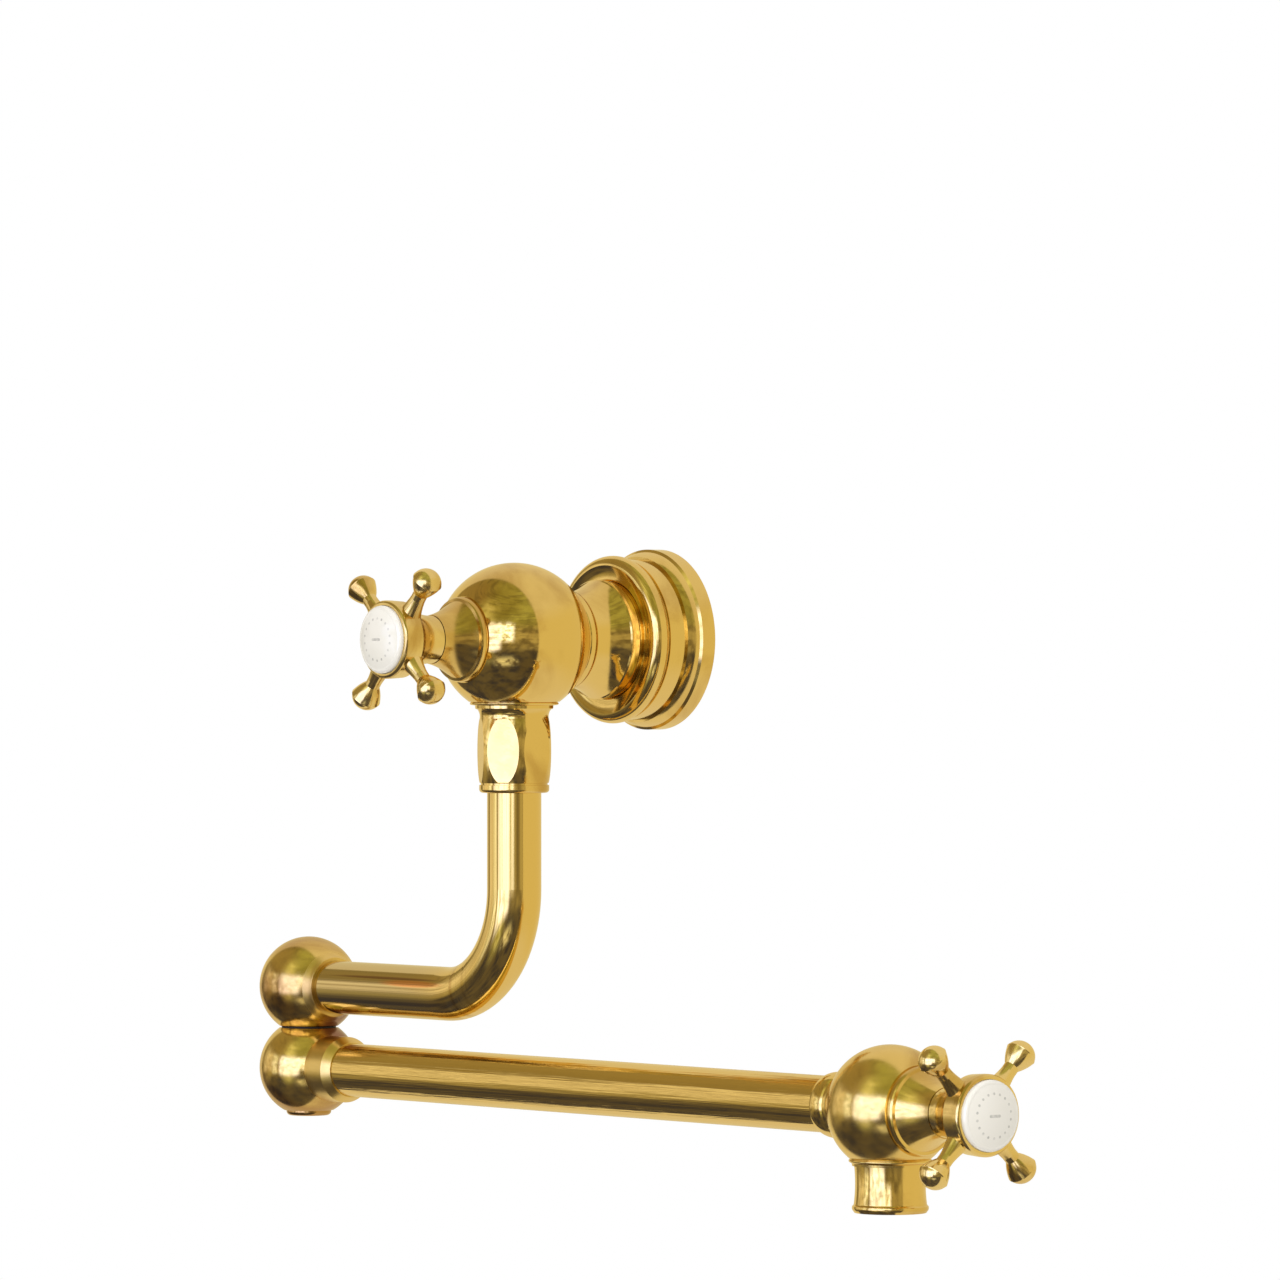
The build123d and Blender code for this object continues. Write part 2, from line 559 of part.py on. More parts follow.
def drop_tube():
    """Down from the swivel, through the bend, and along to the upper ball."""
    path = FilletPolyline(
        (0, -REACH, TAIL_FLANGE_FOOT), (0, -REACH, -DROP), (-FIRST_ARM + SOCKET_OUT, -REACH, -DROP),
        radius=BEND_RADIUS)
    section = Plane(origin=path @ 0, z_dir=path % 0) * (Circle(TUBE_R) - Circle(TUBE_BORE_R))
    return sweep(section, path=path)


def upper_elbow_ball():
    """A hollow ball cut flat at the joint, with a flared ring round the tube."""
    hollow = (FLARE_ROOT_R + FLARE_RIM_R) / 2 - 0.2, (FLARE_START + FLARE_OUT) / 2 - 0.1
    flare = turned(
        (0, SOCKET_OUT), (FLARE_ROOT_R - 1.5, SOCKET_OUT), (FLARE_ROOT_R, FLARE_START),
        (hollow, (FLARE_RIM_R, FLARE_OUT - 0.2)), (FLARE_RIM_R - 0.2, FLARE_OUT), (0, FLARE_OUT))
    ball = Rot(0, 0, 180) * elbow_shell(-ELBOW_JOINT + ELBOW_WASHER_T / 2) + along_x * flare
    ball -= cavity_cut(-ELBOW_JOINT + ELBOW_THREAD)
    ball -= along_x * rod(SOCKET_R, SOCKET_OUT, 2 * ELBOW_BALL_R)
    ball -= rod(ELBOW_THREAD_R + THREAD, -ELBOW_BALL_R, 0)
    return upper_ball * ball


def elbow_shell(foot):
    """A ball cut flat at its foot."""
    return Sphere(ELBOW_BALL_R) - rod(ELBOW_BALL_R, -2 * ELBOW_BALL_R, foot)


def cavity_cut(floor):
    """The water space in an elbow ball, above a floor."""
    return Sphere(ELBOW_CAVITY_R) - rod(ELBOW_BALL_R, -2 * ELBOW_BALL_R, floor)


ELBOW_RINGS = (-3.0, -5.9)


def elbow_spigot():
    """The hollow pivot: threaded into the upper ball, turning in the lower, with a stud for its nut."""
    shank_r = SWIVEL_R - RUNNING
    land_foot = -ELBOW_WASHER_T / 2 - FACE_GAP - ELBOW_LAND
    stud_foot = land_foot - ELBOW_WEB - FACE_GAP - ELBOW_NUT
    spigot = turned(
        (ELBOW_STUD_BORE_R, ELBOW_THREAD), (ELBOW_THREAD_R, ELBOW_THREAD),
        (ELBOW_THREAD_R, ELBOW_WASHER_T / 2),
        (shank_r, ELBOW_WASHER_T / 2), (shank_r, land_foot + FACE_GAP), (ELBOW_STUD_R, land_foot + FACE_GAP),
        (ELBOW_STUD_R, stud_foot), (ELBOW_STUD_BORE_R, stud_foot))
    for height in ELBOW_RINGS:
        spigot -= groove(shank_r, SWIVEL_R - O_RING_FLOOR, height)
    return elbow_joint * spigot


def elbow_o_rings():
    rings = [o_ring(SWIVEL_R - O_RING_FLOOR, SWIVEL_R, height) for height in ELBOW_RINGS]
    return elbow_joint * Compound(children=rings)


def elbow_thrust_washer():
    return elbow_joint * pipe(ELBOW_NECK_R - 0.3, SWIVEL_R + RUNNING, -ELBOW_WASHER_T / 2, ELBOW_WASHER_T / 2)


def elbow_retaining_nut():
    """A thin hexagon nut on the stud, under the lower ball's web."""
    top = -ELBOW_WASHER_T / 2 - 2 * FACE_GAP - ELBOW_LAND - ELBOW_WEB
    blank = extrude(Pos(0, 0, top) * RegularPolygon(ELBOW_NUT_R, 6), -ELBOW_NUT)
    return elbow_joint * (blank - rod(ELBOW_STUD_R, top - 2 * ELBOW_NUT, top + 1))


# ---------------------------------------------------------------- second arm

def lower_elbow_ball():
    """The same ball turned over: a land for the spigot, a flat for the collar and a hole for the plug."""
    neck_top = ELBOW_JOINT - ELBOW_WASHER_T / 2 - FACE_GAP
    land_foot = neck_top - ELBOW_LAND
    cavity_top = land_foot - ELBOW_WEB
    ball = Rot(180, 0, 0) * (elbow_shell(-neck_top) - cavity_cut(-cavity_top))
    ball -= rod(SWIVEL_R, land_foot, ELBOW_BALL_R) + rod(ELBOW_STUD_R + 0.1, 0, ELBOW_BALL_R)
    collar_flat = sqrt(ELBOW_BALL_R ** 2 - ELBOW_COLLAR_R ** 2)
    ball -= along_x * rod(ELBOW_BALL_R, collar_flat, 2 * ELBOW_BALL_R)
    ball -= along_x * rod(SOCKET_R, SOCKET_OUT, ELBOW_BALL_R)
    ball -= rod(ELBOW_BALL_R, -2 * ELBOW_BALL_R, -PLUG_FACE_OUT)
    return lower_ball * (ball - rod(PLUG_THREAD_R + THREAD, -ELBOW_BALL_R, 0))


def elbow_plug():
    """A low domed head with a key socket, on a short thread."""
    face = -PLUG_FACE_OUT
    plug = turned(
        (0, face + PLUG_THREAD), (PLUG_THREAD_R, face + PLUG_THREAD), (PLUG_THREAD_R, face), (PLUG_R, face),
        (PLUG_R, face - PLUG_HEAD + 1.3),
        ((PLUG_R - 0.5, face - PLUG_HEAD + 0.4), (PLUG_R - 1.6, face - PLUG_HEAD)),
        (0, face - PLUG_HEAD))
    key = extrude(Pos(0, 0, face - PLUG_HEAD) * RegularPolygon(PLUG_KEY / sqrt(3), 6), PLUG_KEY_DEPTH)
    return lower_ball * (plug - key)


def elbow_collar():
    """A sleeve on the tube with a bevelled end."""
    start = sqrt(ELBOW_BALL_R ** 2 - ELBOW_COLLAR_R ** 2)
    return lower_ball * along_x * turned(
        (SOCKET_R, start), (ELBOW_COLLAR_R, start), (ELBOW_COLLAR_R, ELBOW_COLLAR_STEP),
        ((ELBOW_COLLAR_R - 0.9, ELBOW_COLLAR_STEP + 1.5), (SOCKET_R + 0.3, ELBOW_COLLAR_END)),
        (SOCKET_R, ELBOW_COLLAR_END))


def arm_tube():
    length = SECOND_ARM - SPOUT_SOCKET_OUT
    return lower_ball * along_x * pipe(TUBE_R, TUBE_BORE_R, SOCKET_OUT, length)


def valve_collar():
    """A sleeve with a ring, and a cavetto that opens towards the valve."""
    start = sqrt(SPOUT_BALL_R ** 2 - VALVE_COLLAR_R ** 2)
    ring_start = VALVE_COLLAR_RING_START
    ring_mid = (ring_start + VALVE_COLLAR_END) / 2
    return spout_ball * against_x * turned(
        (SOCKET_R, start), (VALVE_COLLAR_R, start), (VALVE_COLLAR_R - 0.1, start + 1.2),
        ((VALVE_COLLAR_COVE_R + 0.3, start + 3.2), (VALVE_COLLAR_COVE_R, ring_start - 0.7)),
        (VALVE_COLLAR_RING_R - 0.4, ring_start),
        ((VALVE_COLLAR_RING_R, ring_mid), (VALVE_COLLAR_RING_R - 0.4, VALVE_COLLAR_END)),
        (SOCKET_R, VALVE_COLLAR_END))


def spout_valve_body():
    """The smaller ball, with flats for its collar and bonnet, and a ring over the nozzle."""
    collar_flat = sqrt(SPOUT_BALL_R ** 2 - VALVE_COLLAR_R ** 2)
    mid = (NOZZLE_RING_TOP + NOZZLE_RING_FOOT) / 2
    ring = turned(
        (0, -NOZZLE_RING_TOP + NOZZLE_RING_ROOT), (NOZZLE_RING_R - 0.6, -NOZZLE_RING_TOP + 1.2),
        (NOZZLE_RING_R - 0.3, -NOZZLE_RING_TOP), ((NOZZLE_RING_R, -mid + 0.4), (NOZZLE_RING_R - 0.5, -mid)),
        (NOZZLE_RING_R - 1.0, -mid - 0.3), (NOZZLE_RING_R - 1.1, -NOZZLE_RING_FOOT), (0, -NOZZLE_RING_FOOT))
    body = Sphere(SPOUT_BALL_R) - rod(SPOUT_BALL_R, -2 * SPOUT_BALL_R, -NOZZLE_RING_TOP) + ring
    body -= against_x * rod(SPOUT_BALL_R, collar_flat, 2 * SPOUT_BALL_R)
    body -= against_x * rod(SOCKET_R, SPOUT_SOCKET_OUT, 2 * SPOUT_BALL_R)
    body -= against_x * rod(PORT_R, 0, SPOUT_SOCKET_OUT + 1)
    body -= rod(WATERWAY_R, -SPOUT_BALL_R, -CHAMBER_R + 1.5)
    body -= rod(NOZZLE_THREAD_R + THREAD, -SPOUT_BALL_R, -NOZZLE_RING_FOOT + NOZZLE_THREAD)
    body = spout_ball * body
    return body - spout_headwork * (rod(SPOUT_BALL_R, 0, SPOUT_BALL_R) + well(SPOUT_SEAT, WATERWAY_R))


def spout_nozzle():
    """A waisted outlet with a rounded rim, threaded into the ring above and bored for the aerator."""
    top = -NOZZLE_RING_FOOT
    foot = -NOZZLE_FOOT
    mid = -(NOZZLE_RING_FOOT + NOZZLE_RIM_TOP) / 2
    pocket_r = AERATOR_R + THREAD
    return spout_ball * turned(
        (NOZZLE_BORE_R, top + NOZZLE_THREAD), (NOZZLE_THREAD_R, top + NOZZLE_THREAD), (NOZZLE_THREAD_R, top),
        (NOZZLE_R, top), ((NOZZLE_WAIST_R, mid), (NOZZLE_R + 0.1, -NOZZLE_RIM_TOP + 0.9)),
        ((NOZZLE_R + 0.3, -NOZZLE_RIM_TOP + 0.3), (NOZZLE_RIM_R - 0.1, -NOZZLE_RIM_TOP)),
        ((NOZZLE_RIM_R, foot + 1.6), (NOZZLE_RIM_R - 0.2, foot + 0.8)), (NOZZLE_RIM_R - 0.8, foot),
        (pocket_r, foot), (pocket_r, foot + AERATOR_DEPTH), (NOZZLE_BORE_R, foot + AERATOR_DEPTH))


def aerator_washer():
    top = -NOZZLE_FOOT + AERATOR_DEPTH
    return spout_ball * pipe(AERATOR_R - 0.1, NOZZLE_BORE_R + 0.3, top - AERATOR_WASHER_T, top)


def aerator_housing():
    """A threaded ring with a ledge inside for its screen."""
    top = -NOZZLE_FOOT + AERATOR_DEPTH - AERATOR_WASHER_T
    foot = -NOZZLE_FOOT + AERATOR_RECESS
    housing = pipe(AERATOR_R, AERATOR_R - AERATOR_WALL, foot, top)
    inner_r = AERATOR_R - AERATOR_WALL
    return spout_ball * (housing + pipe(inner_r, inner_r - 1, foot, foot + 0.8))


def aerator_screen():
    """A perforated disc on the ledge."""
    low = -NOZZLE_FOOT + AERATOR_RECESS + 0.8
    screen = rod(AERATOR_R - AERATOR_WALL, low, low + SCREEN_T)
    holes = [rod(SCREEN_HOLE_R, low - 1, low + SCREEN_T + 1)]
    for ring in range(1, SCREEN_RINGS + 1):
        for number in range(6 * ring):
            place = Rot(0, 0, number * 60 / ring) * Pos(ring * SCREEN_PITCH, 0, 0)
            holes.append(place * rod(SCREEN_HOLE_R, low - 1, low + SCREEN_T + 1))
    return spout_ball * (screen - holes)


# ---------------------------------------------------------------- write every piece

save("wall_rose", out_of_wall * wall_rose())
save("rose_set_screw", out_of_wall * rose_set_screw())
save("rose_gasket", out_of_wall * rose_gasket())
save("wall_valve_body", wall_valve_body())
save("swivel_nut", swivel_nut())
save("shoulder_thrust_washer", shoulder_thrust_washer())
save_headwork("wall", wall_headwork, WALL_HANDLE_TURN)

save("swivel_tail", swivel_tail())
save("tail_o_rings", tail_o_rings())
save("drop_tube", drop_tube())
save("upper_elbow_ball", upper_elbow_ball())
save("elbow_spigot", elbow_spigot())
save("elbow_o_rings", elbow_o_rings())
save("elbow_thrust_washer", elbow_thrust_washer())
save("elbow_retaining_nut", elbow_retaining_nut())

save("lower_elbow_ball", lower_elbow_ball())
save("elbow_plug", elbow_plug())
save("elbow_collar", elbow_collar())
save("arm_tube", arm_tube())
save("valve_collar", valve_collar())
save("spout_valve_body", spout_valve_body())
save("spout_nozzle", spout_nozzle())
save("aerator_washer", aerator_washer())
save("aerator_housing", aerator_housing())
save("aerator_screen", aerator_screen())
save_headwork("spout", spout_headwork, SPOUT_HANDLE_TURN)
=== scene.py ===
from math import cos, pi, radians, sin, sqrt, tan

import bpy
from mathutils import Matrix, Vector


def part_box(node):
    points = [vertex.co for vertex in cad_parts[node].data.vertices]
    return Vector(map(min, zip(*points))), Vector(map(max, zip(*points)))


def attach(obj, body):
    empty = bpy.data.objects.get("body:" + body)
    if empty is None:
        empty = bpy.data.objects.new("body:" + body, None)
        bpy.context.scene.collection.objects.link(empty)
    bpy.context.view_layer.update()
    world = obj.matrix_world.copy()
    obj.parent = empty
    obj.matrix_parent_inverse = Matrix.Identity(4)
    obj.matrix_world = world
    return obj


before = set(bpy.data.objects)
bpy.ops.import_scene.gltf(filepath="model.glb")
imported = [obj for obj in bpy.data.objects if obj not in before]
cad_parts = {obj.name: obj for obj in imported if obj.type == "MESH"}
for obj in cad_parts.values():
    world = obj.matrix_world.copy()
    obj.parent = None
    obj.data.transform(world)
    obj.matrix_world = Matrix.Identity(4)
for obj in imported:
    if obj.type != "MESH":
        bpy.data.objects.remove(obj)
for leftover in ("Cube", "Light", "Camera"):
    if leftover in bpy.data.objects:
        bpy.data.objects.remove(bpy.data.objects[leftover])
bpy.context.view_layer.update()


# ---------------------------------------------------------------- the camera
# It stands level, almost three metres off, to the right of the tap's front, with a long lens. The tap sits
# low in a square picture, with the elbow to the left and the spout valve, which is nearest, to the right.

CAMERA_AZIMUTH = radians(51.67)
CAMERA_DISTANCE = 2.82405
CAMERA_ASIDE = -0.00671
CAMERA_UP = -0.00014
LENS_MM = 223.19
SENSOR_MM = 36
UP = Vector((0, 0, 1))

camera_back = Vector((sin(CAMERA_AZIMUTH), -cos(CAMERA_AZIMUTH), 0))
camera_right = Vector((cos(CAMERA_AZIMUTH), sin(CAMERA_AZIMUTH), 0))
bpy.ops.object.camera_add(
    location=camera_back * CAMERA_DISTANCE + camera_right * CAMERA_ASIDE + UP * CAMERA_UP)
camera = bpy.context.object
camera.rotation_mode = "QUATERNION"
camera.rotation_quaternion = (-camera_back).to_track_quat("-Z", "Y")
camera.data.sensor_width = SENSOR_MM
camera.data.lens = LENS_MM
camera.data.clip_start = 0.1
camera.data.clip_end = 50
bpy.context.scene.camera = camera


# ---------------------------------------------------------------- the studio
# Plain white all round for the camera, over a pale floor far below. Polished brass shows a room instead:
# soft windows, an olive ceiling and a dark lower part before the tap, and a painted wall behind it.

FLOOR_SIZE = 14
FLOOR_Z = -0.9
FLOOR_TONE = (0.80, 0.79, 0.77, 1)
WHITE = (1, 1, 1, 1)
DAYLIGHT = (1, 0.99, 0.97, 1)
DAYLIGHT_STRENGTH = 0.55
TAP_MIDDLE = Vector((0.06, -0.07, -0.08))

bpy.context.scene.view_settings.view_transform = "Standard"


def feed(tree, node, inputs):
    """Each named input of a node takes another node's output, or a plain value."""
    for name, value in inputs.items():
        if isinstance(value, bpy.types.NodeSocket):
            tree.links.new(value, node.inputs[name])
        else:
            node.inputs[name].default_value = value


def add(tree, kind, inputs=None, **settings):
    """A new shader node with these settings and inputs."""
    node = tree.nodes.new("ShaderNode" + kind)
    for name, value in settings.items():
        setattr(node, name, value)
    feed(tree, node, inputs or {})
    return node


def calc(tree, operation, *values):
    """The result of one sum on outputs or plain numbers."""
    return add(tree, "Math", dict(enumerate(values)), operation=operation).outputs[0]


def smooth_step(tree, value, low, high, most=1):
    """A smooth step from 0 at low to most at high."""
    step = add(tree, "MapRange", {"Value": value, "From Min": low, "From Max": high, "To Max": most},
               interpolation_type="SMOOTHSTEP")
    return step.outputs["Result"]


def mixed(tree, share, under, over):
    """Two colours mixed by a share, each an output or three numbers."""
    colours = {end: (*colour, 1) if isinstance(colour, tuple) else colour
               for end, colour in (("A", under), ("B", over))}
    return add(tree, "Mix", {"Factor": share, **colours}, data_type="RGBA").outputs["Result"]


def white_to_camera(tree, output_kind, white_kind, shader):
    """The camera sees plain white, and every other ray this shader."""
    white = add(tree, white_kind, {"Color": WHITE})
    ray = add(tree, "LightPath").outputs["Is Camera Ray"]
    seen = add(tree, "MixShader", {0: ray, 1: shader.outputs[0], 2: white.outputs[0]})
    add(tree, output_kind, {"Surface": seen.outputs[0]})


bpy.ops.mesh.primitive_plane_add(size=FLOOR_SIZE, location=UP * FLOOR_Z)
floor = bpy.context.object
floor.name = "floor"
floor.visible_glossy = False
pale_floor = bpy.data.materials.new("pale_floor")
pale_floor.use_nodes = True
pale_floor.node_tree.nodes.clear()
matte = add(pale_floor.node_tree, "BsdfDiffuse", {"Color": FLOOR_TONE})
white_to_camera(pale_floor.node_tree, "OutputMaterial", "Emission", matte)
floor.data.materials.append(pale_floor)

world = bpy.data.worlds.new("studio")
bpy.context.scene.world = world
world.use_nodes = True
studio = world.node_tree
studio.nodes.clear()
looking = add(studio, "TexCoord").outputs["Generated"]


def towards(direction):
    """How far the looked at direction agrees with this one, from -1 to 1."""
    agreed = add(studio, "VectorMath", {0: looking, 1: direction.normalized()}, operation="DOT_PRODUCT")
    return agreed.outputs["Value"]


def uneven(scale, flattened, detail, low, high):
    """Patches over the room, from 0 to 1, flattened by this factor."""
    squeezed = add(studio, "VectorMath", {0: looking, 1: (1, 1, flattened)}, operation="MULTIPLY")
    noise = add(studio, "TexNoise", {"Vector": squeezed.outputs[0], "Scale": scale, "Detail": detail})
    return smooth_step(studio, noise.outputs["Fac"], low, high)


def seen_from_camera(right, up):
    """A direction given in degrees right of and above the line from the tap to the camera."""
    flat = camera_back * cos(radians(right)) + camera_right * sin(radians(right))
    return flat * cos(radians(up)) + UP * sin(radians(up))


# a window only shows in directions that point at least this much its way
AHEAD = (0.02, 0.1)


def window(right, up, half_width, half_height, soft):
    """The share of one soft window, its place and size in degrees from the line to the camera."""
    facing = seen_from_camera(right, up)
    across = UP.cross(facing).normalized()
    upright = facing.cross(across).normalized()
    ahead = towards(facing)
    share = smooth_step(studio, ahead, *AHEAD)
    for axis, half in ((across, half_width), (upright, half_height)):
        slope = calc(studio, "DIVIDE", towards(axis), calc(studio, "MAXIMUM", ahead, AHEAD[0]))
        edge = tan(radians(half))
        inside = smooth_step(studio, calc(studio, "ABSOLUTE", slope), edge + soft, edge - soft)
        share = calc(studio, "MULTIPLY", share, inside)
    return share


# where each begins and where it is full: the first three by the sine of the angle over the horizon
LOWER_PART = (-0.09, -0.40)
CEILING = (0.16, 0.55)
PAINT_PALES = (0.35, 0.75)
BROWN_CORNER = seen_from_camera(-104, 26)
BROWN_CORNER_EDGE = (0.55, 0.92)
WALL_EDGE = 0.03
SHELF_SHARE = 0.42

height = towards(UP)
patches = uneven(scale=3.2, flattened=1.8, detail=4, low=0.38, high=0.62)
glints = uneven(scale=7.5, flattened=1.3, detail=4, low=0.36, high=0.60)
shelves = uneven(scale=2.6, flattened=15, detail=3, low=0.48, high=0.64)

room = mixed(studio, patches, (0.22, 0.18, 0.10), (0.54, 0.47, 0.26))
low_down = mixed(studio, patches, (0.052, 0.050, 0.082), (0.14, 0.12, 0.10))
room = mixed(studio, smooth_step(studio, height, *LOWER_PART), room, low_down)
olive = mixed(studio, patches, (0.36, 0.36, 0.12), (0.50, 0.51, 0.19))
in_corner = smooth_step(studio, towards(BROWN_CORNER), *BROWN_CORNER_EDGE)
ceiling = mixed(studio, in_corner, olive, (0.37, 0.29, 0.13))
room = mixed(studio, smooth_step(studio, height, *CEILING), room, ceiling)
# each row: right, up, half width, half height, softness, its shaded colour, its lit colour
for *place_and_size, shaded, lit in (
        (-50, 12, 11, 42, 0.32, (0.62, 0.62, 0.26), (1.05, 1.07, 0.66)),
        (-14, -33, 15, 5, 0.12, (0.20, 0.17, 0.12), (1.2, 1.2, 1.1)),
        (-110, 7, 16, 13, 0.10, (0.62, 0.55, 0.42), (1.05, 0.97, 0.86)),
        (-87, 5, 8, 15, 0.07, (0.85, 0.85, 0.70), (1.7, 1.8, 2.3)),
        (-46, 4, 25, 19, 0.11, (1.3, 1.4, 2.0), (2.4, 2.6, 4.8)),
        (-13, 11, 13, 13, 0.09, (0.95, 0.95, 0.75), (2.6, 2.9, 4.8))):
    room = mixed(studio, window(*place_and_size), room, mixed(studio, glints, shaded, lit))
room = mixed(studio, calc(studio, "MULTIPLY", shelves, SHELF_SHARE), room, (0.12, 0.10, 0.06))
paler = smooth_step(studio, calc(studio, "ABSOLUTE", height), *PAINT_PALES)
wall_paint = mixed(studio, paler, (0.80, 0.70, 0.42), (0.82, 0.75, 0.62))
wall_or_room = smooth_step(studio, towards(Vector((0, 1, 0))), -WALL_EDGE, WALL_EDGE)
for_metal = add(studio, "Background", {"Color": mixed(studio, wall_or_room, room, wall_paint)})
for_light = add(studio, "Background", {"Color": DAYLIGHT, "Strength": DAYLIGHT_STRENGTH})
metal_ray = add(studio, "LightPath").outputs["Is Glossy Ray"]
surroundings = add(studio, "MixShader", {0: metal_ray, 1: for_light.outputs[0], 2: for_metal.outputs[0]})
white_to_camera(studio, "OutputWorld", "Background", surroundings)

# each row: name, right, up, metres off, metres wide, watts
for name, right, up, distance, size, power in (
        ("window_lamp", -30, 12, 2.2, 1.4, 26),
        ("top_lamp", 20, 62, 2.0, 1.2, 12),
        ("side_lamp", 36, 8, 2.2, 1.2, 6)):
    facing = seen_from_camera(right, up)
    bpy.ops.object.light_add(type="AREA", location=TAP_MIDDLE + facing * distance)
    lamp = bpy.context.object
    lamp.name = name
    lamp.rotation_mode = "QUATERNION"
    lamp.rotation_quaternion = facing.to_track_quat("Z", "Y")
    lamp.data.size = size
    lamp.data.energy = power
    lamp.visible_glossy = False


# ---------------------------------------------------------------- wall rose
# A flange turned from brass bar and buffed to a mirror, unlacquered. It slides over the neck's hub, hides
# the fixing, and is held by a small socket screw from below, with a soft ring between it and the wall.

POLISHED = (0.84, 0.60, 0.19)
TARNISHED = (0.62, 0.40, 0.11)
TARNISH_STARTS = 0.70
TARNISH_EDGE = 0.22
HAIRLINE_DEPTH = 0.00001


def new_group(name, inputs, outputs):
    """An empty node group with these sockets: the group, what it is given, and its output node."""
    group = bpy.data.node_groups.new(name, "ShaderNodeTree")
    for in_out, sockets in (("INPUT", inputs), ("OUTPUT", outputs)):
        for socket, kind in sockets.items():
            group.interface.new_socket(name=socket, in_out=in_out, socket_type="NodeSocket" + kind)
    return group, group.nodes.new("NodeGroupInput").outputs, group.nodes.new("NodeGroupOutput")


def shader_of(material):
    """The shader that a material's colour, roughness and normal go to."""
    return material.node_tree.nodes["Principled BSDF"]


def new_finish(name):
    """A material with nothing but its shader, and its node tree."""
    material = bpy.data.materials.new(name)
    material.use_nodes = True
    return material, material.node_tree


def wear_finish(material, *names):
    """These CAD pieces take this material all over."""
    for name in names:
        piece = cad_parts[name]
        piece.data.materials.clear()
        piece.data.materials.append(material)


def between(tree, share, start, end):
    """A value that goes from start to end as the share goes from 0 to 1."""
    return add(tree, "MapRange", {"Value": share, "To Min": start, "To Max": end}).outputs["Result"]


def worn_polish_group():
    """Worn polish: how dull it is, how tarnished, and a normal with slight waves and buffing lines."""
    group, given, results = new_group(
        "worn_polish",
        {"Place": "Vector", "Waviness": "Float", "Tarnished Share": "Float", "Line Depth": "Float"},
        {"Dull": "Float", "Tarnish": "Float", "Normal": "Vector"})
    place = given["Place"]
    smudges = add(group, "TexNoise", {
        "Vector": place, "Scale": 95, "Detail": 6, "Roughness": 0.62, "Distortion": 0.8})
    dull = add(group, "MapRange", {"Value": smudges.outputs["Fac"], "From Min": 0.45, "From Max": 0.72})

    patches = add(group, "TexNoise", {"Vector": place, "Scale": 34, "Detail": 5, "Distortion": 0.5})
    start = calc(group, "SUBTRACT", TARNISH_STARTS, given["Tarnished Share"])
    tarnish = smooth_step(group, patches.outputs["Fac"], start, calc(group, "ADD", start, TARNISH_EDGE))

    waves = add(group, "TexNoise", {"Vector": place, "Scale": 60, "Detail": 1})
    wavy = add(group, "Bump", {
        "Height": waves.outputs["Fac"], "Strength": given["Waviness"], "Distance": 0.0005})
    lines = add(group, "TexNoise", {"Vector": place, "Scale": 900, "Detail": 3})
    buffed = add(group, "Bump", {
        "Height": lines.outputs["Fac"], "Strength": 0.5, "Distance": given["Line Depth"],
        "Normal": wavy.outputs["Normal"]})
    feed(group, results, {
        "Dull": dull.outputs["Result"], "Tarnish": tarnish, "Normal": buffed.outputs["Normal"]})
    return group


worn_polish = worn_polish_group()


def brass(name, roughness, dulled, waviness, tarnished_share, colour=POLISHED, tarnished=TARNISHED,
          stretch=(1, 1, 1), line_depth=HAIRLINE_DEPTH):
    """Polished brass with its own tone and wear, which is drawn out where a stretch is under 1."""
    material, tree = new_finish(name)
    place = add(tree, "TexCoord").outputs["Object"]
    drawn_out = add(tree, "VectorMath", {0: place, 1: stretch}, operation="MULTIPLY")
    wear = add(tree, "Group", {
        "Place": drawn_out.outputs[0], "Waviness": waviness, "Tarnished Share": tarnished_share,
        "Line Depth": line_depth}, node_tree=worn_polish, name="wear").outputs
    feed(tree, shader_of(material), {
        "Metallic": 1,
        "Base Color": mixed(tree, wear["Tarnish"], colour, tarnished),
        "Roughness": between(tree, wear["Dull"], roughness, dulled),
        "Normal": wear["Normal"]})
    return material


def fine_grain_group():
    """A fine even grain: pale specks, broad clouds, and a normal that stands up to Depth."""
    group, given, results = new_group(
        "fine_grain",
        {"Scale": "Float", "Depth": "Float"},
        {"Specks": "Float", "Clouds": "Float", "Normal": "Vector"})
    place = add(group, "TexCoord").outputs["Object"]
    grain = add(group, "TexNoise", {"Vector": place, "Scale": given["Scale"], "Detail": 4, "Roughness": 0.6})
    specks = add(group, "MapRange", {"Value": grain.outputs["Fac"], "From Min": 0.35, "From Max": 0.65})
    clouds = add(group, "TexNoise", {"Vector": place, "Scale": 60, "Detail": 2})
    raised = add(group, "Bump", {
        "Height": grain.outputs["Fac"], "Strength": 0.6, "Distance": given["Depth"]})
    feed(group, results, {
        "Specks": specks.outputs["Result"], "Clouds": clouds.outputs["Fac"],
        "Normal": raised.outputs["Normal"]})
    return group


fine_grain = fine_grain_group()


def grained(name, light, dark, metallic, smooth, rough, scale, depth):
    """A plain shop finish with a fine grain, for the parts that nobody polishes."""
    material, tree = new_finish(name)
    grain = add(tree, "Group", {"Scale": scale, "Depth": depth}, node_tree=fine_grain).outputs
    feed(tree, shader_of(material), {
        "Metallic": metallic,
        "Base Color": mixed(tree, grain["Clouds"], dark, light),
        "Roughness": between(tree, grain["Specks"], smooth, rough),
        "Normal": grain["Normal"]})
    return material


